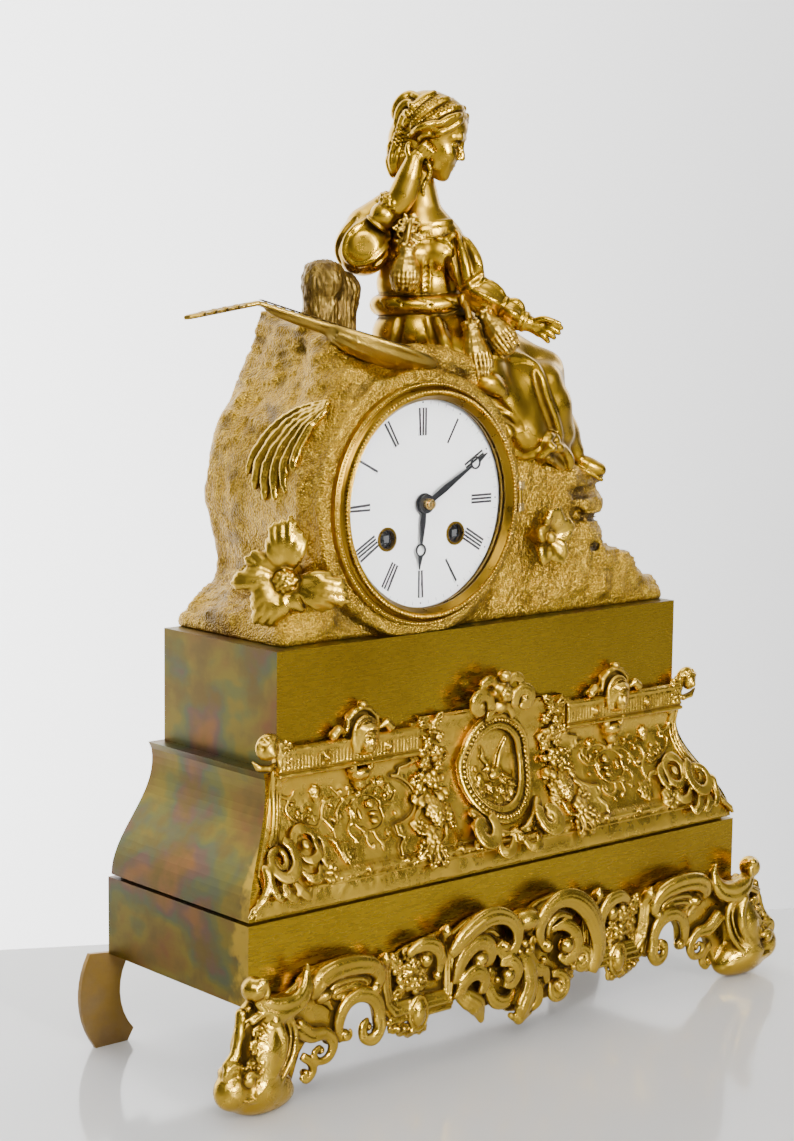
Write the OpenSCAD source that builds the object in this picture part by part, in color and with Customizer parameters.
// Gilt mantel clock: stepped plinth, rocky case with a seated figure, and a
// round eight-day striking movement. +Z up, front towards -Y, millimetres.

/* [Plinth] */
// Width of the lower plinth
plinth_w = 300; // [280:1:320]
// Depth of the lower plinth
plinth_d = 101; // [96:1:110]
// Height of the lower plinth's underside above the shelf
foot_h = 42; // [38:1:46]
// Height of the lower plinth
lower_h = 35; // [30:1:40]
// Height of the flared middle plinth
middle_h = 58; // [54:1:62]
// How far the middle plinth flares
flare = 22; // [16:1:24]
// Height of the upper plinth
upper_h = 50.6; // [46:0.2:56]
// Thickness of the plinth sheet
sheet_t = 2; // [1.5:0.1:3]

/* [Dial] */
// Dial centre, left of the plinth's middle
dial_left = 40; // [36:1:44]
// Dial centre above the plinth's top
dial_rise = 57; // [56:0.5:58]
// Radius of the enamel dial
dial_r = 46.3; // [46:0.1:46.4]
// Outer radius of the bezel
bezel_r = 53.2; // [52.5:0.1:54]
// Radius of the bore through the rock case
bore_r = 47.5; // [47.2:0.1:48]
// Spacing of the two winding squares
wind_span = 39.8; // [39.8:0.1:41]

/* [Movement] */
// Radius of the movement plates
plate_r = 43; // [42.5:0.1:43.5]
// Length of the pendulum, from its pivot to the middle of the bob
pendulum_l = 159; // [150:1:165]
// Radius of the pendulum bob
bob_r = 19; // [15:0.5:20]

/* [Hands] */
// Time shown at rest, in minutes past twelve
rest_minutes = 370; // [0:1:719]

/* [Hidden] */
$fn = 64;

brass = [0.83, 0.65, 0.28];
gilt = [0.80, 0.60, 0.20];
steel = [0.45, 0.46, 0.50];

// The row frame's origin is under the middle of the whole clock.
reach_front = 16.5;
reach_back = 104.5;
row_y = -(reach_back - reach_front) / 2;

lower_top = foot_h + lower_h;
middle_z = lower_top + 1.2;
middle_top = lower_top + middle_h;
upper_top = middle_top + upper_h;
upper_w = plinth_w - 2 * (flare + 6);
upper_front = 17.4;
upper_back = 97.6;

cx = -dial_left;
cz = upper_top + dial_rise;

// Depths of the layers of the clock, from the plinth's front face
rock_front = 24.5;
rock_back = 100.5;
collar_y = 18;
dial_y = 20;
dial_t = 1.2;
plate_t = 2;
plate1_y = 27;
plate2_y = 61;

wind_x = wind_span / 2;
wind_z = -14.5;

// ---- helpers -------------------------------------------------------------

module place() { translate([0, row_y, 0]) children(); }
// Draws a 2D shape given in X and Z, from depth y0 to depth y1
module slab(y0, y1) { translate([0, y1, 0]) rotate([90, 0, 0]) linear_extrude(y1 - y0) children(); }
module rod_y(x, z, y0, y1, r) { translate([x, y1, z]) rotate([90, 0, 0]) cylinder(h = y1 - y0, r = r); }
module rod_z(x, y, z0, z1, r) { translate([x, y, z0]) cylinder(h = z1 - z0, r = r); }
module ring_y(x, z, y0, y1, r_out, r_in) {
    difference() {
        rod_y(x, z, y0, y1, r_out);
        rod_y(x, z, y0 - 1, y1 + 1, r_in);
    }
}
module box(x0, x1, y0, y1, z0, z1) { translate([x0, y0, z0]) cube([x1 - x0, y1 - y0, z1 - z0]); }
// Movement parts are drawn around the dial's centre
module move() { translate([cx, 0, cz]) children(); }
// A flat bar with round ends
module link(a, ra, b, rb) {
    side = [-(b - a)[1], (b - a)[0]] / norm(b - a);
    translate(a) circle(r = ra);
    translate(b) circle(r = rb);
    polygon([a + ra * side, a - ra * side, b - rb * side, b + rb * side]);
}
function toward(a, b) = atan2(b[1] - a[1], b[0] - a[0]);
function turned(a) = [cos(a), sin(a)];
function arc(c, r, a0, a1, n) = [for (i = [0:n]) c + r * turned(a0 + (a1 - a0) * i / n)];

// Wheel and pinion teeth: flat-sided, with the wide gaps of clock work
module toothed(teeth, module_mm, add, ded, root_share, tip_share, phase) {
    step = 360 / teeth;
    r0 = module_mm * (teeth / 2 - ded);
    r1 = module_mm * (teeth / 2 + add);
    corners = [[r0, -root_share], [r1, -tip_share], [r1, tip_share], [r0, root_share]];
    polygon([for (i = [0:teeth - 1]) for (c = corners)
        c[0] * [cos(phase + step * (i + c[1] / 2)), sin(phase + step * (i + c[1] / 2))]]);
}
module wheel(at, teeth, m, phase, y0, y1, bore) {
    translate([at[0], 0, at[1]]) slab(y0, y1) difference() {
        toothed(teeth, m, 0.7, 1.0, 0.46, 0.18, phase);
        circle(r = bore);
        rim = m * (teeth / 2 - 1) - 1.6;
        if (rim > 6) for (a = [45:90:315]) rotate(a) polygon(concat(
            arc([0, 0], rim, -34, 34, 8), arc([0, 0], 3.6, 14, -14, 2)));
    }
}
module pinion(at, leaves, m, phase, y0, y1, bore) {
    translate([at[0], 0, at[1]]) slab(y0, y1) difference() {
        toothed(leaves, m, 0.45, 1.15, 0.34, 0.18, phase);
        if (bore > 0) circle(r = bore);
    }
}
pivot_r = 0.5;
arbor_r = 0.7;
// Steel arbor with a thinner pivot at each end, which turns in the plates
module arbor(at) {
    rod_y(at[0], at[1], plate1_y + plate_t + 0.3, plate2_y - 0.3, arbor_r);
    rod_y(at[0], at[1], plate1_y + 0.3, plate2_y + plate_t - 0.3, pivot_r);
}
module pivot_holes() {
    for (p = [second_at, third_at, escape_at, strike_second_at, locking_at, fly_at, hammer_at])
        rod_y(p[0], p[1], 0, 90, pivot_r + 0.06);
    rod_y(0, 0, 0, 90, arbor_r + 0.06);
    for (s = [-1, 1]) rod_y(s * wind_x, wind_z, 0, 90, 2.26);
}

// ---- gear layout, around the dial's centre ---------------------------------

barrel_teeth = 72;
barrel_m = 0.49;
barrel_at = [wind_x, wind_z];
strike_barrel_at = [-wind_x, wind_z];
second_teeth = 60;
second_m = 0.45;
second_leaves = 12;
centre_leaves = 10;
centre_teeth = 80;
centre_m = 0.35;
third_leaves = 8;
third_teeth = 75;
third_m = 0.3;
escape_leaves = 6;
escape_teeth = 36;
escape_r = 8.4;
centre_gap = second_m * (second_teeth + centre_leaves) / 2;
barrel_gap = barrel_m * (barrel_teeth + second_leaves) / 2;
// The second wheel stands where it meets both the barrel and the centre pinion
barrel_far = norm(barrel_at);
along = (centre_gap^2 - barrel_gap^2 + barrel_far^2) / (2 * barrel_far);
across = sqrt(centre_gap^2 - along^2);
second_at = (along * barrel_at + across * [-barrel_at[1], barrel_at[0]]) / barrel_far;
third_gap = centre_m * (centre_teeth + third_leaves) / 2;
third_at = third_gap * [cos(115), sin(115)];
escape_gap = third_m * (third_teeth + escape_leaves) / 2;
escape_at = [0, third_at[1] + sqrt(escape_gap^2 - third_at[0]^2)];
anchor_at = escape_at + [0, 13];
strike_second_at = strike_barrel_at + barrel_gap * [cos(95), sin(95)];
strike_m = 0.4;
locking_at = strike_second_at + strike_m * (60 + 10) / 2 * [cos(99.5), sin(99.5)];
fly_at = locking_at + third_m * (60 + 6) / 2 * [cos(60), sin(60)];
hammer_at = [-38.5, 2.5];
cannon_leaves = 12;
minute_teeth = 36;
minute_m = 0.4;
minute_at = [-minute_m * (cannon_leaves + minute_teeth) / 2, 0];
hour_teeth = 40;
hour_leaves = 10;
hour_m = -minute_at[0] * 2 / (hour_teeth + hour_leaves);

// ---- plinth ----------------------------------------------------------------

// Inset of the flared plinth at a share of its height: an ogee with a small lip
function ogee(t) = flare * (1 - cos(180 * min(t / 0.86, 1))) / 2 - 2 * max(0, (t - 0.9) / 0.1)^2;
ogee_steps = 18;
// The front leans back a little less than the sides
front_share = 0.8;
function ogee_line(side, half, inset) = [for (i = [0:ogee_steps])
    [side * (half - ogee(i / ogee_steps) - inset), middle_z + (middle_top - middle_z) * i / ogee_steps]];
function reversed(list) = [for (i = [len(list) - 1:-1:0]) list[i]];

module flared_block(inset) {
    half = plinth_w / 2 - 1;
    intersection() {
        slab(1 + inset, plinth_d - 1 - inset)
            polygon(concat(ogee_line(-1, half, inset), reversed(ogee_line(1, half, inset))));
        translate([-plinth_w / 2, 0, 0]) rotate([90, 0, 90]) linear_extrude(plinth_w)
            polygon(concat(
                [for (p = ogee_line(-1, 0, 0)) [1 + inset + p[0] * front_share, p[1]]],
                [[plinth_d - 1 - inset, middle_top], [plinth_d - 1 - inset, middle_z]]));
    }
}
bolt_xy = [[-95, 34], [95, 34], [-95, 84], [95, 84]];
module bolt_holes(r) { for (p = bolt_xy) rod_z(p[0], p[1], 0, 400, r); }
// The pendulum hangs through this slot in every tier
module pendulum_slot(z0, z1, half) { box(cx - half, cx + half, 62, 84, z0, z1); }

module lower_plinth() {
    color(gilt) place() difference() {
        box(-plinth_w / 2, plinth_w / 2, 0, plinth_d, foot_h, lower_top);
        box(-plinth_w / 2 + sheet_t, plinth_w / 2 - sheet_t, sheet_t, plinth_d - sheet_t,
            foot_h - 1, lower_top - sheet_t);
        pendulum_slot(foot_h, lower_top + 1, 35);
        bolt_holes(2.2);
        for (x = screw_x) rod_y(x, screw_z, -1, sheet_t + 1, 1.6);
        for (s = [-1, 1]) rod_y(s * 137, foot_h + 7, plinth_d - sheet_t - 1, plinth_d + 1, 1.6);
    }
}
module middle_plinth() {
    color(gilt) place() difference() {
        union() {
            flared_block(0);
            box(-plinth_w / 2 + 4, plinth_w / 2 - 4, 4, plinth_d - 4, lower_top, middle_z);
        }
        intersection() {
            flared_block(sheet_t);
            box(-200, 200, 0, 200, middle_z + 1.5, middle_top - sheet_t);
        }
        box(-plinth_w / 2 + 6, plinth_w / 2 - 6, 6, plinth_d - 6, lower_top - 1, middle_z + 1.6);
        pendulum_slot(middle_z, middle_top + 1, 35);
        bolt_holes(2.2);
    }
}
module upper_plinth() {
    color(gilt) place() difference() {
        box(-upper_w / 2, upper_w / 2, upper_front, upper_back, middle_top, upper_top);
        box(-upper_w / 2 + sheet_t, upper_w / 2 - sheet_t, upper_front + sheet_t, upper_back - sheet_t,
            middle_top - 1, upper_top - sheet_t);
        pendulum_slot(middle_top, upper_top + 1, 20);
        bolt_holes(2.2);
    }
}
// Threaded rods that clamp the rock case and the three tiers, with their nuts
module case_bolts() {
    color(steel) place() for (p = bolt_xy) {
        rod_z(p[0], p[1], lower_top - 12, upper_top + 4, 2);
        translate([p[0], p[1], lower_top - sheet_t - 3.2]) difference() {
            cylinder(h = 3.2, r = 4.2, $fn = 6);
            translate([0, 0, -1]) cylinder(h = 6, r = 2.02);
        }
    }
}

// ---- castings on the plinth -----------------------------------------------

// Relief casting that follows the ogee on the front of the middle plinth
frieze_t = 5;
frieze_half = plinth_w / 2 - flare - 4;
module ogee_strip(x0, x1, lift, t0, t1) {
    front = [for (p = ogee_line(-1, 0, 0)) [1 + p[0] * front_share, p[1]]];
    cut = [for (i = [0:ogee_steps]) if (i / ogee_steps >= t0 && i / ogee_steps <= t1) front[i]];
    translate([x0, 0, 0]) rotate([90, 0, 90]) linear_extrude(x1 - x0)
        polygon(concat([for (p = cut) [p[0] - lift, p[1]]], [for (p = reversed(cut)) [p[0] - 0.02, p[1]]]));
}
mask_x = 78;
oval_z = middle_top - 13.5;
module frieze_casting() {
    color(gilt) place() {
        difference() {
            union() {
                ogee_strip(-frieze_half, frieze_half, frieze_t, 0.15, 1);
                // Ribbed top band with a head on each half
                box(-frieze_half, frieze_half, 12, upper_front - 0.05, middle_top - 1, middle_top + 10);
                for (s = [-1, 1]) rod_y(s * mask_x, middle_top + 11, 8, upper_front - 0.05, 10);
                for (s = [-1, 1]) rod_y(s * (frieze_half + 5), middle_top + 9, 10, upper_front - 0.05, 7);
                // Leaf scrolls at the lower corners
                for (s = [-1, 1]) rod_y(s * (frieze_half + 3), middle_z + 19, -4, 8, 11);
            }
            slab(-20, 20) ellipse(0, oval_z, 22.7, 24.9);
            // Clear of the middle plinth behind it
            translate([0, -0.05, 0]) flared_block(0);
        }
    }
}
module ellipse(x, z, rx, rz) { polygon([for (a = [0:9:351]) [x + rx * cos(a), z + rz * sin(a)]]); }
// Oval plaque with its raised frame, set in the middle of the frieze
module oval_medallion() {
    color(gilt) place() difference() {
        union() {
            intersection() {
                union() {
                    ogee_strip(-23, 23, 7, 0.2, 1);
                    box(-23, 23, 10.5, upper_front - 0.05, middle_top - 2, 200);
                }
                slab(-20, 30) ellipse(0, oval_z, 22.4, 24.6);
            }
            // Ribbon crest over the oval
            rod_y(0, oval_z + 30, 6, upper_front - 0.05, 9.5);
        }
        translate([0, -0.05, 0]) flared_block(0);
    }
}

// Pierced front casting: scrolled apron with the two front feet in one piece
screw_x = [-120, -52, 52, 120];
screw_z = foot_h + 9;
apron_back = -0.05;
foot_tip = 172;
function apron_half() = concat(
    [[0, 68], [14, 72], [30, 66], [44, 60], [60, 66], [72, 66], [84, 60]],
    [[104, 64], [124, 58], [140, 54], [150, 62]],
    [[156, 58], [155, 44]],
    arc([186, 46], 31, 184, 236, 6),
    [[foot_tip, 17]], arc([162, 11], 11, 30, -90, 6),
    arc([148, 12], 12, -90, -160, 4),
    [[133, 24], [126, 34], [112, 40], [98, 34], [84, 30], [66, 32]],
    [[56, 20], [40, 26], [30, 12], [14, 8], [0, 10]]);
module front_apron() {
    right = apron_half();
    left = [for (p = reversed(right)) [-p[0], p[1]]];
    color(gilt) place() difference() {
        union() {
            slab(-12, apron_back) polygon(concat(right, left));
            // The feet swell forwards
            for (s = [-1, 1]) {
                rod_y(s * 156, 14, -reach_front, -6, 13);
                rod_y(s * 148, 34, -14, -6, 10);
            }
            rod_y(0, 38, -15, -6, 22);
            for (s = [-1, 1]) rod_y(s * 72, 50, -14, -6, 10);
        }
        box(-200, 200, -30, 10, -20, 0);
        for (x = screw_x) rod_y(x, screw_z, -5, 1, 1.25);
        // Pierced between the scrolls
        for (s = [-1, 1]) {
            slab(-20, 5) ellipse(s * 98, 45, 6, 4);
            slab(-20, 5) ellipse(s * 38, 38, 4.5, 6);
        }
    }
}

// Rear feet: cut from thick sheet, with a bowed outline
module rear_foot(s) {
    outline = concat(
        arc([s * 126, 24], 39, s > 0 ? 30 : 150, s > 0 ? -37 : 217, 10),
        [[s * 157, 0], [s * 140, 0]],
        arc([s * 116, 24], 28, s > 0 ? -42 : 222, s > 0 ? 38 : 142, 8));
    difference() {
        union() {
            slab(plinth_d, plinth_d + 2.2) intersection() {
                polygon(outline);
                translate([-200, 0]) square([400, 60]);
            }
            box(min(s * 148, s * 128), max(s * 148, s * 128), plinth_d, plinth_d + 2.2,
                foot_h - 4, foot_h + 14);
        }
        rod_y(s * 137, foot_h + 7, plinth_d - 5, plinth_d + 5, 1.6);
    }
}
module rear_foot_left() { color([0.35, 0.26, 0.12]) place() rear_foot(-1); }
module rear_foot_right() { color([0.35, 0.26, 0.12]) place() rear_foot(1); }
module screw_y(x, z, tip_y, head_y, r) {
    out = head_y > tip_y ? 1 : -1;
    rod_y(x, z, min(tip_y, head_y), max(tip_y, head_y), r);
    difference() {
        rod_y(x, z, min(head_y, head_y + out * 1.3), max(head_y, head_y + out * 1.3), r * 1.8);
        translate([x, head_y + out * 1.3, z]) cube([r * 5, 1, r * 0.5], center = true);
    }
}
module foot_screws() {
    color(steel) place() {
        for (s = [-1, 1]) screw_y(s * 137, foot_h + 7, plinth_d - 6, plinth_d + 2.2, 1.5);
        for (x = screw_x) screw_y(x, screw_z, -4.8, sheet_t, 1.22);
    }
}

// ---- rock case -------------------------------------------------------------

rock_left = -113;
rock_right = 122;
rock_step = 60;
// Outline of the rock's front, from the left base corner over the top to the right
function rock_front_line(inset) = let(base = upper_top) concat(
    [[rock_left + inset, base], [rock_left + inset, base + 11]],
    [for (p = arc([rock_left - 6, base + 35], 24, -60, 5, 5)) p + [inset, 0]],
    [[-101 + inset, base + 58], [-97 + inset, base + 84], [-84 + inset, base + 104],
     [-76 + inset, base + 122 - inset], [-62, base + 120 - inset], [-46, base + 115 - inset],
     [-22, base + 114 - inset], [3, base + 109 - inset], [15 - inset, base + 98 - inset],
     [27 - inset, base + 78 - inset], [44 - inset, base + 70 - inset], [62, base + 67 - inset],
     [88 - inset, base + 58 - inset], [88 - inset, base + 49], [81 - inset, base + 40 - inset],
     [82 - inset, base + 29 - inset], [103 - inset, base + 22 - inset],
     [rock_right - inset, base + 8 - inset / 2], [rock_right - inset, base]]);
// The back rises to a point on the left and carries the seat
function rock_back_line(inset) = let(base = upper_top) concat(
    [[rock_left + inset, base], [rock_left + inset, base + 11]],
    [for (p = arc([rock_left - 6, base + 35], 24, -60, 5, 5)) p + [inset, 0]],
    [[-101 + inset, base + 58], [-97 + inset, base + 84], [-84 + inset, base + 104],
     [-77 + inset, base + 118], [-74 + inset, base + 134],
     [-68, base + 138 - inset], [-60, base + 135 - inset],
     [-50, base + 120 - inset], [-30, base + 115 - inset], [10, base + 115 - inset],
     [32 - inset, base + 98 - inset], [50 - inset, base + 74 - inset], [98 - inset, base + 63 - inset],
     [98 - inset, base + 50], [88 - inset, base + 40 - inset], [88 - inset, base + 29 - inset],
     [104 - inset, base + 22 - inset],
     [rock_right - inset, base + 8 - inset / 2], [rock_right - inset, base]]);
rock_wall = 5;
module rock_mass() {
    slab(rock_front, rock_step) polygon(rock_front_line(0));
    slab(rock_step, rock_back) polygon(rock_back_line(0));
}
module rock_case() {
    color(gilt) place() difference() {
        union() {
            rock_mass();
            intersection() {
                rod_y(cx, cz, collar_y, rock_front + 1, 60);
                box(-200, 200, 0, 60, upper_top, 400);
            }
        }
        rod_y(cx, cz, 0, 200, bore_r);
        // Hollow casting, open underneath
        rock_hollow(rock_front + rock_wall, rock_step) polygon(rock_front_line(rock_wall));
        rock_hollow(rock_step - 0.5, rock_back - rock_wall) intersection() {
            polygon(rock_back_line(rock_wall));
            polygon(rock_front_line(rock_wall));
        }
        pendulum_slot(upper_top - 1, upper_top + 40, 16);
        for (p = bolt_xy) rod_z(p[0], p[1], upper_top - 1, upper_top + 5, 2.05);
    }
}
module rock_hollow(y0, y1) {
    slab(y0, y1) difference() {
        translate([0, -0.5]) children();
        circle_at(cx, cz, bore_r + 3.5);
        for (p = bolt_xy) translate([p[0] - 6, upper_top - 1]) square([12, 9]);
    }
}
module circle_at(x, z, r) { translate([x, z]) circle(r = r); }

// Dead stump behind the elbow; two lobes with a groove between
module tree_stump() {
    color(gilt) place() difference() {
        union() {
            hull() {
                translate([-58, 76, upper_top + 112]) cylinder(h = 2, r = 7, $fn = 24);
                translate([-57, 75, upper_top + 150]) sphere(r = 11, $fn = 24);
            }
            hull() {
                translate([-44, 76, upper_top + 112]) cylinder(h = 2, r = 6, $fn = 24);
                translate([-44, 76, upper_top + 150]) sphere(r = 9.5, $fn = 24);
            }
        }
        rock_mass();
    }
}

// Mandolin lying on the rock: bowl, tapering neck and peg box bent back
peg_bend = [-106, 52, 329];
lute_l = 85;
module mandolin() {
    color([0.6, 0.45, 0.18]) place() difference() {
        translate(peg_bend) rotate([0, 17, -20]) {
            hull() {
                translate([lute_l - 26, 0, -1]) cylinder(h = 2, r = 15);
                translate([lute_l - 13, 0, -1]) cylinder(h = 2, r = 13);
                translate([30, 0, -1]) cylinder(h = 2, r = 4);
                translate([lute_l - 26, 0, -8]) cylinder(h = 2, r = 7);
            }
            box(0, 34, -3.6, 3.6, -1, 1);
            rotate([0, -28, 0]) box(-33, 1, -3.2, 3.2, -1, 1);
        }
        rock_mass();
        translate([0, -row_y, 0]) tree_stump();
    }
}

// ---- figure ----------------------------------------------------------------

module ball(p, r) { translate(p) sphere(r = r, $fn = 24); }
module limb(a, ra, b, rb) {
    hull() {
        ball(a, ra);
        ball(b, rb);
    }
}

waist = [-9, 59, 335];
knee_l = [48, 36, 297.5];
knee_r = [30, 31, 293];
hem_at = [66, 36, 264];
neck = [-9.5, 57.5, 376];
module figure_body() {
    color(gilt) place() difference() {
        union() {
            // Bodice, rising to the shoulders
            hull() {
                ball(waist, 15.5);
                ball([-9, 57.5, 349], 15);
                ball([-20, 70, 367], 7.5);
                ball([0, 49, 357], 7.5);
            }
            rod_z(neck[0], neck[1], 355, neck[2], 7.2);
            // Hips and lap
            hull() {
                ball([-15, 64, 317], 18);
                ball([-2, 55, 316], 18);
                ball([-9, 59, 327], 16);
            }
            hull() {
                ball([0, 54, 314], 17);
                ball(knee_l, 10);
                ball(knee_r, 10);
            }
            // Skirt falling over the shins to the hem
            hull() {
                ball(knee_l, 10);
                ball(knee_r, 10);
                ball([27, 30, 274], 9.5);
                ball([42, 31, 268], 8);
                ball(hem_at, 8);
            }
            hull() {
                ball([4, 44, 304], 15);
                ball([18, 33, 283], 11);
                ball([20, 62, 300], 15);
            }
            // Shoes
            hull() {
                ball([70, 36, 259], 6);
                ball([80, 30.5, 252], 4);
            }
        }
        rod_y(cx, cz, -50, 200, bezel_r + 5);
        rock_mass();
    }
}
module figure_head() {
    color(gilt) place() {
        rod_z(neck[0], neck[1], neck[2], neck[2] + 16, 6.8);
        hull() {
            ball([-4, 51.5, 406.5], 14);
            ball([1.5, 48.5, 395], 9);
            ball([-14, 60, 408], 11.5);
        }
        ball([-17, 62.5, 394], 8.5);
    }
}
module figure_raised_arm() {
    color(gilt) place() difference() {
        union() {
            limb([-24, 72, 364], 9, [-31, 72, 353], 12);
            limb([-31, 71, 354], 11, [-29, 60, 367], 6.5);
            limb([-27, 56.5, 369], 5.5, [-20.5, 49, 394], 4.5);
        }
        figure_clear();
        translate([0, -row_y, 0]) {
            figure_head();
            tree_stump();
        }
    }
}
module figure_clear() { translate([0, -row_y, 0]) figure_body(); }
module figure_open_arm() {
    color(gilt) place() difference() {
        union() {
            limb([1, 46, 357], 8, [3, 38, 341], 9);
            limb([3, 37, 338], 8, [14, 24.5, 325], 6.2);
            limb([14, 24.5, 325], 5, [27, 10, 317], 3.6);
        }
        figure_clear();
    }
}
module tassels() {
    color(gilt) place() difference() {
        union() {
            limb([-1, 39, 328], 4, [-2, 25.5, 303], 6.4);
            limb([1, 38, 328], 4, [10, 20.5, 312], 5.8);
            limb([-23, 49, 363], 4, [-25, 49.5, 341], 6);
        }
        figure_clear();
        rock_mass();
        translate([0, -row_y, 0]) {
            figure_raised_arm();
            figure_open_arm();
            mandolin();
            tree_stump();
        }
    }
}
// Leaf sprays screwed to the rock
rosette_at = [-105, 30, 214];
module petal(reach, half) {
    linear_extrude(2) polygon(concat(
        [for (i = [0:8]) [reach * i / 8, half * sin(22.5 * i)]],
        [for (i = [7:-1:1]) [reach * i / 8, -half * sin(22.5 * i)]]));
}
module leaf_rosette() {
    color(gilt) place() difference() {
        translate(rosette_at) rotate([90, 0, -48]) union() {
            cylinder(h = 13, r = 5);
            for (i = [0:4]) rotate([0, 0, 24 + 72 * i]) translate([2, 0, 4 + i * 0.4]) petal(23, 7);
        }
        rock_mass();
        rod_y(cx, cz, -50, 200, bezel_r + 4);
        box(-200, 200, 0, 60, 180, upper_top + 0.1);
    }
}
spray_at = [36, 22, 222];
module leaf_spray() {
    color(gilt) place() difference() {
        translate(spray_at) rotate([90, 0, 0]) union() {
            translate([0, 0, -3]) cylinder(h = 10, r = 4);
            for (i = [0:5]) rotate([0, 0, 62 * i]) translate([1, 0, 2 + i * 0.3]) petal(15, 4);
        }
        rock_mass();
        rod_y(cx, cz, -50, 200, 60.1);
    }
}

// ---- dial, bezel and hands ---------------------------------------------------

hinge_x = bezel_r + 2.2;
hinge_y = 16.2;
module spun(points) { rotate([90, 0, 0]) rotate_extrude($fn = 96) polygon(points); }
// Profile of the bezel as radius and depth, with two bead rows left to the finish
module bezel_ring() {
    color(gilt) place() move() {
        difference() {
            spun([[45.4, -17.6], [bezel_r, -17.9], [bezel_r, -15.2], [51.4, -14.2], [50.6, -15.2],
                  [49.6, -14.2], [48.8, -12.4], [47.4, -11.9], [45.4, -14.6]]);
            // Seat for the glass
            spun([[44, -15.1], [46.9, -15.1], [46.9, -16.7], [44, -16.7]]);
        }
        difference() {
            union() {
                rod_z(hinge_x, hinge_y, -3, 3, 1.5);
                box(bezel_r - 1, hinge_x, hinge_y - 0.6, hinge_y + 1.2, -3, 3);
            }
            rod_z(hinge_x, hinge_y, -4, 4, 0.86);
            rod_y(0, 0, 0, 30, bezel_r - 0.6);
        }
    }
}
// Slightly domed glass: a shell between two spheres
glass_edge = 46.8;
glass_y = 15.4;
dome = 4.6;
dome_r = (glass_edge^2 + dome^2) / (2 * dome);
module bezel_glass() {
    color([0.8, 0.9, 0.95, 0.3]) place() move() intersection() {
        difference() {
            translate([0, glass_y - dome + dome_r, 0]) sphere(r = dome_r, $fn = 96);
            translate([0, glass_y - dome + dome_r + 1.2, 0]) sphere(r = dome_r, $fn = 96);
        }
        rod_y(0, 0, 5, 17, glass_edge);
    }
}
// Fixed halves of the bezel's and the door's hinges, with their pins
module case_hinges() {
    color(brass) place() move() {
        bezel_hinge();
        door_hinge();
    }
}
module bezel_hinge() {
    for (s = [-1, 1]) difference() {
        union() {
            rod_z(hinge_x, hinge_y, s > 0 ? 3.2 : -6.6, s > 0 ? 6.6 : -3.2, 1.5);
            box(hinge_x, hinge_x + 3.4, hinge_y, collar_y, s > 0 ? 3.2 : -6.6, s > 0 ? 6.6 : -3.2);
        }
        rod_z(hinge_x, hinge_y, -9, 9, 0.81);
    }
    rod_z(hinge_x, hinge_y, -7, 7, 0.8);
}
module wind_holes(r, y0, y1) { for (s = [-1, 1]) rod_y(s * wind_x, wind_z, y0, y1, r); }
module dial() {
    color("white") place() move() difference() {
        rod_y(0, 0, dial_y, dial_y + dial_t, dial_r);
        rod_y(0, 0, 0, 40, 3.4);
        wind_holes(4.6, 0, 40);
    }
}
module winding_ferrules() {
    color(brass) place() move() for (s = [-1, 1]) {
        ring_y(s * wind_x, wind_z, dial_y - 0.5, dial_y, 5.3, 4.15);
        ring_y(s * wind_x, wind_z, dial_y - 0.2, dial_y + dial_t, 4.56, 4.15);
    }
}
module dial_backing() {
    color(brass) place() move() difference() {
        union() {
            rod_y(0, 0, dial_y + dial_t, dial_y + dial_t + 1.2, bore_r - 0.2);
            for (a = [30, 150, 270]) rod_y(39 * cos(a), 39 * sin(a), dial_y + dial_t, plate1_y, 1.5);
        }
        rod_y(0, 0, 0, 40, 3.4);
        wind_holes(4.6, 0, 40);
    }
}
minute_turn = rest_minutes * 6;
hour_turn = rest_minutes / 2;
// Steel hand with an open ring near its tip, pointing to twelve before it's turned
module hand(turn, y0, y1, length, eye, eye_r, boss, bore) {
    slab(y0, y1) rotate(-turn) difference() {
        union() {
            circle(r = boss);
            polygon([[-1.1, 0], [1.1, 0], [1.5, length * 0.3],
                [0.5, eye - eye_r + 0.4], [-0.5, eye - eye_r + 0.4], [-1.5, length * 0.3]]);
            translate([0, eye]) circle(r = eye_r);
            polygon([[-1.2, eye + eye_r - 0.3], [1.2, eye + eye_r - 0.3], [0.15, length], [-0.15, length]]);
        }
        translate([0, eye]) circle(r = eye_r - 0.75);
        circle(r = bore);
    }
}
blued = [0.06, 0.06, 0.08];
module hour_hand() { color(blued) place() move() hand(hour_turn, 17.9, 18.4, 29, 20.5, 2.9, 4.6, 2.66); }
module minute_hand() { color(blued) place() move() hand(minute_turn, 16.3, 16.85, 41, 33, 2.9, 4.2, 1.78); }
// Brass collet on the cannon pipe, held by a taper pin
module hand_bush() {
    color(brass) place() move() {
        difference() {
            union() {
                rod_y(0, 0, 14.1, 16.3, 2.5);
                rod_y(0, 0, 12.7, 14.1, 1.9);
            }
            rod_y(0, 0, 10, 20, 0.84);
        }
    }
}

// ---- movement plates -------------------------------------------------------

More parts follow.
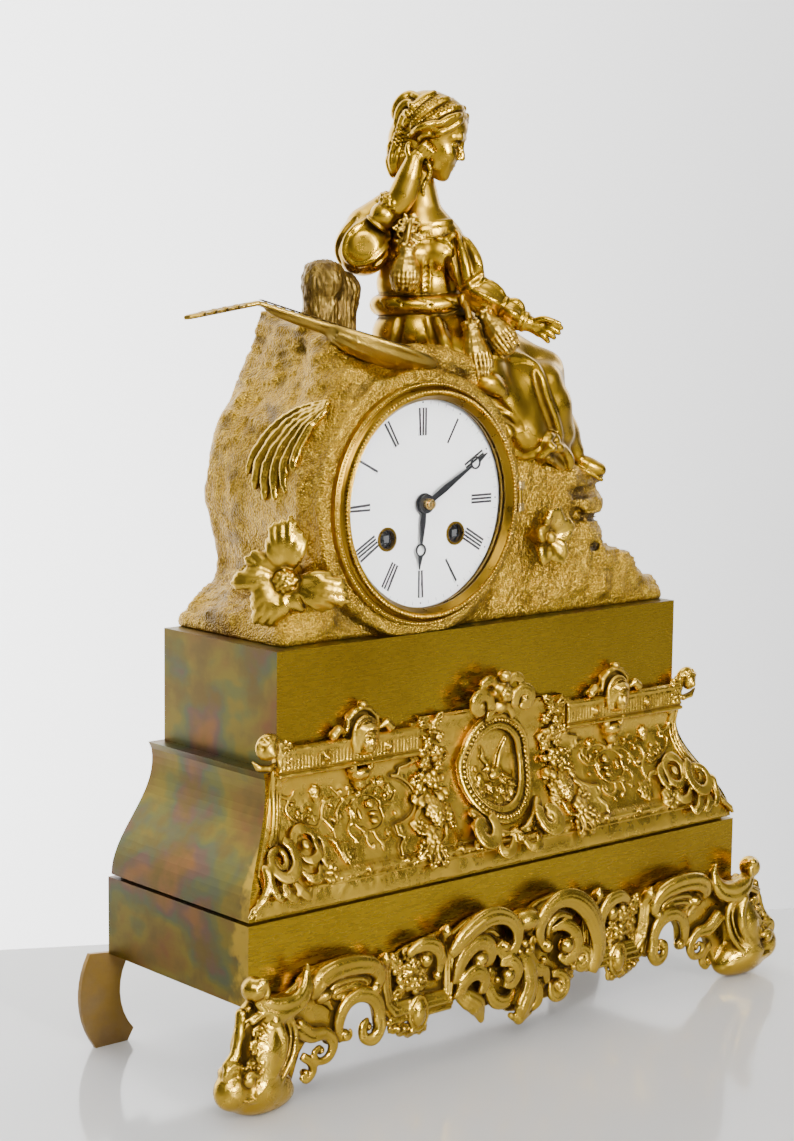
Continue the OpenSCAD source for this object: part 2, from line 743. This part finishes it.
pillar_at = [for (a = [20, 160, 250, 290]) 38 * [cos(a), sin(a)]];
module pillar_holes() { for (p = pillar_at) rod_y(p[0], p[1], 0, 90, 1.6); }
module plate(y0) {
    difference() {
        rod_y(0, 0, y0, y0 + plate_t, plate_r);
        pivot_holes();
        pillar_holes();
    }
}
module front_plate() {
    color(brass) place() move() difference() {
        plate(plate1_y);
        rod_y(anchor_at[0], anchor_at[1], 0, 40, pivot_r + 0.06);
        rod_y(minute_at[0], minute_at[1], 0, 40, 0.71);
    }
}
module back_plate() {
    color(brass) place() move() difference() {
        plate(plate2_y);
        rod_y(anchor_at[0], anchor_at[1], 50, 90, 1.5);
        // The count wheel's pipe goes through here
        rod_y(strike_barrel_at[0], strike_barrel_at[1], 50, 90, 4.2);
    }
}
module plate_pillars() {
    color(brass) place() move() {
        for (p = pillar_at) {
            rod_y(p[0], p[1], plate1_y + plate_t, plate2_y, 2.6);
            rod_y(p[0], p[1], plate1_y - 0.8, plate2_y + plate_t + 1.5, 1.55);
        }
        rod_y(minute_at[0], minute_at[1], 22.6, plate1_y + plate_t, 0.7);
    }
}
module movement_straps() {
    color(brass) place() move() for (s = [-1, 1])
        box(s * 45.2 - 1, s * 45.2 + 1, dial_y + dial_t + 1.2, rock_back - 1, -3, 3);
}

// ---- going and striking trains -------------------------------------------------

barrel_y = 33;
drum_back = 54;
module barrel(at, mate) {
    translate([at[0], 0, at[1]]) {
        difference() {
            union() {
                translate([0, 0, 0]) slab(barrel_y, barrel_y + 2.2)
                    toothed(barrel_teeth, barrel_m, 0.7, 1.0, 0.46, 0.18,
                        toward(at, mate) + 180 / barrel_teeth);
                rod_y(0, 0, barrel_y + 2, drum_back, 16.8);
            }
            rod_y(0, 0, 0, 90, 2.26);
            rod_y(0, 0, barrel_y + 1.6, drum_back - 1.4, 15.8);
        }
    }
}
// Spiral of spring steel between the arbor and the drum's wall
module mainspring(at) {
    turns = 7;
    n = turns * 24;
    function spiral(i, lift) = let(a = i * 15, r = 4.5 + lift + 10.3 * i / n) r * [cos(a), sin(a)];
    translate([at[0], 0, at[1]]) slab(barrel_y + 3, drum_back - 2.4)
        polygon(concat([for (i = [0:n]) spiral(i, 0)], [for (i = [n:-1:0]) spiral(i, 0.55)]));
}
ratchet_teeth = 18;
ratchet_r = 6.4;
module ratchet_wheel(at, hand) {
    translate([at[0], 0, at[1]]) slab(25, 26.4) polygon([for (i = [0:ratchet_teeth - 1]) for (k = [0, 1])
        (k ? ratchet_r : ratchet_r - 1.3) * turned(360 / ratchet_teeth * (i + (k ? hand * 0.06 : 0)))]);
}
module winding_arbor(at, hand) {
    ratchet_wheel(at, hand);
    rod_y(at[0], at[1], 25, plate2_y + plate_t - 0.2, 2.2);
    rod_y(at[0], at[1], barrel_y + 3, drum_back - 2.4, 4);
    box(at[0] - 1.5, at[0] + 1.5, 20.4, 25, at[1] - 1.5, at[1] + 1.5);
}
module going_barrel() { color(brass) place() move() barrel(barrel_at, second_at); }
module strike_barrel() { color(brass) place() move() barrel(strike_barrel_at, strike_second_at); }
module going_mainspring() { color(steel) place() move() mainspring(barrel_at); }
module strike_mainspring() { color(steel) place() move() mainspring(strike_barrel_at); }
module going_arbor() { color(steel) place() move() winding_arbor(barrel_at, 1); }
module strike_arbor() { color(steel) place() move() winding_arbor(strike_barrel_at, 1); }
// Notched disc that counts the blows, on a pipe round the striking arbor
module count_wheel() {
    blows = [1, 2, 3, 4, 5, 6, 7, 8, 9, 10, 11, 12];
    function before(i) = i == 0 ? 0 : blows[i - 1] + before(i - 1);
    color(brass) place() move() translate([strike_barrel_at[0], 0, strike_barrel_at[1]]) difference() {
        union() {
            slab(64.2, 65.4) difference() {
                circle(r = 13);
                for (i = [0:11]) rotate(before(i) * 360 / 78) translate([11.6, -0.7]) square([3, 1.4]);
            }
            rod_y(0, 0, drum_back, 64.2, 3.9);
        }
        rod_y(0, 0, 0, 90, 2.26);
    }
}
// Clicks that hold the wound springs, each beside its ratchet wheel
module ratchet_clicks() {
    color(steel) place() move() for (s = [-1, 1]) {
        at = [s * wind_x + 11, wind_z - 6];
        translate([at[0], 0, at[1]]) slab(25, 26.4) union() {
            circle(r = 1.8);
            polygon([[-1.4, 1], [-4.3, 3.6], [-3.2, 4.4], [1.4, 1.2]]);
        }
        rod_y(at[0], at[1], 24.4, plate1_y, 1.1);
    }
}
module second_wheel() {
    color(brass) place() move() {
        wheel(second_at, second_teeth, second_m, toward(second_at, [0, 0]) + 180 / second_teeth,
            57, 58.4, arbor_r - 0.05);
        pinion(second_at, second_leaves, barrel_m, toward(second_at, barrel_at),
            barrel_y - 0.4, barrel_y + 2.6, 0);
        arbor(second_at);
    }
}
module centre_wheel() {
    color(brass) place() move() {
        wheel([0, 0], centre_teeth, centre_m, toward([0, 0], third_at) + 180 / centre_teeth,
            30.2, 31.4, arbor_r - 0.05);
        pinion([0, 0], centre_leaves, second_m, toward([0, 0], second_at), 56.7, 58.7, 0);
        rod_y(0, 0, 13.2, plate2_y + plate_t - 0.3, arbor_r);
    }
}
module third_wheel() {
    color(brass) place() move() {
        wheel(third_at, third_teeth, third_m, toward(third_at, escape_at) + 180 / third_teeth,
            36, 37.2, arbor_r - 0.05);
        pinion(third_at, third_leaves, centre_m, toward(third_at, [0, 0]), 29.8, 31.8, 0);
        arbor(third_at);
    }
}
module escape_wheel() {
    color(brass) place() move() {
        translate([escape_at[0], 0, escape_at[1]]) slab(50, 51.2) difference() {
            polygon([for (i = [0:escape_teeth - 1]) for (k = [0, 1])
                (k ? escape_r : escape_r - 1.5) * turned(360 / escape_teeth * (i + k * 0.12))]);
            circle(r = arbor_r - 0.05);
            for (a = [45:90:315]) rotate(a)
                polygon(concat(arc([0, 0], 5.6, -30, 30, 6), arc([0, 0], 2.4, 12, -12, 2)));
        }
        pinion(escape_at, escape_leaves, third_m, toward(escape_at, third_at), 35.6, 37.6, 0);
        arbor(escape_at);
    }
}
module cannon_pinion() {
    color(steel) place() move() difference() {
        union() {
            pinion([0, 0], cannon_leaves, minute_m, toward([0, 0], minute_at), 25.1, 26.1, 0.82);
            rod_y(0, 0, 16.3, 25.1, 1.72);
        }
        rod_y(0, 0, 0, 40, 0.8);
    }
}
module minute_wheel() {
    color(brass) place() move() {
        wheel(minute_at, minute_teeth, minute_m, toward(minute_at, [0, 0]) + 180 / minute_teeth,
            25.1, 26.1, 0.78);
        pinion(minute_at, hour_leaves, hour_m, toward(minute_at, [0, 0]), 23.4, 25.1, 0.78);
    }
}
module hour_wheel() {
    color(brass) place() move() {
        wheel([0, 0], hour_teeth, hour_m, toward([0, 0], minute_at) + 180 / hour_teeth, 23.4, 24.3, 1.8);
        ring_y(0, 0, 17.6, 23.6, 2.6, 1.8);
    }
}
module strike_second_wheel() {
    color(brass) place() move() {
        wheel(strike_second_at, 60, strike_m, toward(strike_second_at, locking_at) + 3,
            57, 58.2, arbor_r - 0.05);
        pinion(strike_second_at, second_leaves, barrel_m, toward(strike_second_at, strike_barrel_at),
            barrel_y - 0.4, barrel_y + 2.6, 0);
        arbor(strike_second_at);
        // Lifting pins for the hammer
        for (a = [0:36:324])
            rod_y(strike_second_at[0] + 10 * cos(a), strike_second_at[1] + 10 * sin(a), 54.6, 57.4, 0.5);
    }
}
module locking_wheel() {
    color(brass) place() move() {
        wheel(locking_at, 60, third_m, toward(locking_at, fly_at) + 3, 44, 45.2, arbor_r - 0.05);
        pinion(locking_at, 10, strike_m, toward(locking_at, strike_second_at), 56.8, 58.4, 0);
        arbor(locking_at);
    }
}
module fly() {
    color(brass) place() move() {
        pinion(fly_at, 6, third_m, toward(fly_at, locking_at), 43.7, 45.5, 0);
        arbor(fly_at);
        box(fly_at[0] - 5.5, fly_at[0] + 5.5, 49, 58, fly_at[1] - 0.25, fly_at[1] + 0.25);
    }
}

// ---- escapement and pendulum ---------------------------------------------------

module anchor() {
    color(steel) place() move() {
        // Anchor over the escape wheel, its pallets just clear of the teeth
        translate([escape_at[0], 0, escape_at[1]]) slab(49.6, 51.6) polygon(concat(
            arc([0, 0], escape_r + 0.9, 38, 142, 10),
            arc([0, 0], escape_r + 3.0, 140, 96, 5), [[-1.2, 13], [1.2, 13]],
            arc([0, 0], escape_r + 3.0, 84, 40, 5)));
        rod_y(anchor_at[0], anchor_at[1], plate1_y + plate_t + 0.3, 66.3, arbor_r + 0.2);
        rod_y(anchor_at[0], anchor_at[1], plate1_y + 0.3, 67.9, pivot_r);
        // Crutch, with a fork that reaches back round the pendulum rod
        box(-0.8, 0.8, 64.6, 65.8, anchor_at[1] - 42, anchor_at[1]);
        for (s = [-1, 1]) box(s * 1.9 - 0.4, s * 1.9 + 0.4, 64.6, 75, anchor_at[1] - 43, anchor_at[1] - 41);
        box(-2.3, 2.3, 64.6, 65.8, anchor_at[1] - 43, anchor_at[1] - 41);
    }
}
module back_cock() {
    color(brass) place() move() {
        difference() {
            union() {
                slab(67, 69.4) link([-13, anchor_at[1]], 3.4, [13, anchor_at[1]], 3.4);
                for (s = [-1, 1]) rod_y(s * 13, anchor_at[1], plate2_y + plate_t, 67.5, 3);
            }
            rod_y(anchor_at[0], anchor_at[1], 60, 68.2, pivot_r + 0.06);
        }
        rod_y(anchor_at[0], anchor_at[1], 69, 75.4, 0.8);
        rod_y(anchor_at[0], anchor_at[1], 75, 75.8, 1.6);
    }
}
hang_y = 72.2;
module suspension_spring() {
    color(steel) place() move() translate([0, 0, anchor_at[1]]) {
        ring_y(0, 0, hang_y - 2, hang_y + 2, 2.2, 0.86);
        box(-0.15, 0.15, hang_y - 1.6, hang_y + 1.6, -12, -2.1);
        box(-1.8, 1.8, hang_y - 2, hang_y + 2, -16, -12);
    }
}
module pendulum_rod() {
    color(steel) place() move() translate([0, 0, anchor_at[1]])
        rod_z(0, hang_y, -pendulum_l - bob_r - 6, -16, 1.1);
}
module pendulum_bob() {
    color(brass) place() move() translate([0, 0, anchor_at[1] - pendulum_l]) {
        difference() {
            intersection() {
                rod_y(0, 0, hang_y - 5, hang_y + 5, bob_r);
                union() for (s = [-1, 1]) translate([0, hang_y + s * 37, 0]) sphere(r = 42, $fn = 96);
            }
            rod_z(0, hang_y, -60, 60, 1.16);
        }
        // Rating nut under the bob
        difference() {
            rod_z(0, hang_y, -bob_r - 3.6, -bob_r - 0.4, 3);
            rod_z(0, hang_y, -60, 60, 1.1);
        }
    }
}
hammer_head = [-26.5, 21.5];
module hammer() {
    color(steel) place() move() {
        rod_y(hammer_at[0], hammer_at[1], plate1_y + 0.3, 68, pivot_r);
        rod_y(hammer_at[0], hammer_at[1], plate1_y + plate_t + 0.3, plate2_y - 0.3, 0.9);
        slab(66, 67.6) link(hammer_at, 2, hammer_head, 1.4);
        rod_y(hammer_head[0], hammer_head[1], 66, 90, 1);
        rod_y(hammer_head[0], hammer_head[1], 82, 89, 2.6);
    }
}
bell_r = 30;
module bell() {
    color(steel) place() move() difference() {
        spun([[0.9 + 1.3, -94.2], [12, -94], [21, -92.4], [27, -89], [29.4, -84.6], [bell_r, -80],
              [bell_r - 1.5, -80], [28, -84.4], [25.8, -88], [20.4, -90.9], [12, -92.4], [2.2, -92.6]]);
    }
}
post_at = [-21, -31];
module bell_stand() {
    color(brass) place() move() {
        rod_y(post_at[0], post_at[1], plate2_y + plate_t, 97, 1.8);
        slab(95, 97) link(post_at, 2.6, [0, 0], 3.6);
        rod_y(0, 0, 90.6, 95.5, 2.1);
        rod_y(0, 0, 94.2, 95.5, 3.6);
        rod_y(0, 0, 91.2, 92.5, 3.6);
    }
}
door_r = 50;
door_y = rock_back + 0.3;
door_axis = [door_r + 2, rock_back + 1.7];
module back_door() {
    color(brass) place() move() {
        rod_y(0, 0, door_y, door_y + 1.5, door_r);
        rod_y(-door_r + 7, 0, door_y + 1, reach_back, 2.6);
        difference() {
            union() {
                rod_z(door_axis[0], door_axis[1], -8, 8, 1.4);
                box(door_r - 2, door_axis[0], door_y, door_y + 1.5, -8, 8);
            }
            rod_z(door_axis[0], door_axis[1], -9, 9, 0.76);
        }
    }
}
module door_hinge() {
    for (s = [-1, 1]) difference() {
        union() {
            rod_z(door_axis[0], door_axis[1], s > 0 ? 8.3 : -13, s > 0 ? 13 : -8.3, 1.4);
            box(door_axis[0], door_axis[0] + 4, rock_back, door_axis[1],
                s > 0 ? 8.3 : -13, s > 0 ? 13 : -8.3);
        }
        rod_z(door_axis[0], door_axis[1], -20, 20, 0.71);
    }
    rod_z(door_axis[0], door_axis[1], -13.5, 13.5, 0.7);
}

lower_plinth();
middle_plinth();
upper_plinth();
frieze_casting();
oval_medallion();
front_apron();
rear_foot_left();
rear_foot_right();
foot_screws();
case_bolts();
rock_case();
tree_stump();
mandolin();
figure_body();
figure_head();
figure_raised_arm();
figure_open_arm();
tassels();
leaf_rosette();
leaf_spray();
bezel_ring();
bezel_glass();
case_hinges();
dial();
winding_ferrules();
dial_backing();
hour_hand();
minute_hand();
hand_bush();
front_plate();
back_plate();
plate_pillars();
movement_straps();
going_barrel();
going_mainspring();
going_arbor();
strike_barrel();
strike_mainspring();
strike_arbor();
count_wheel();
ratchet_clicks();
second_wheel();
centre_wheel();
third_wheel();
escape_wheel();
cannon_pinion();
minute_wheel();
hour_wheel();
anchor();
back_cock();
suspension_spring();
pendulum_rod();
pendulum_bob();
strike_second_wheel();
locking_wheel();
fly();
hammer();
bell();
bell_stand();
back_door();
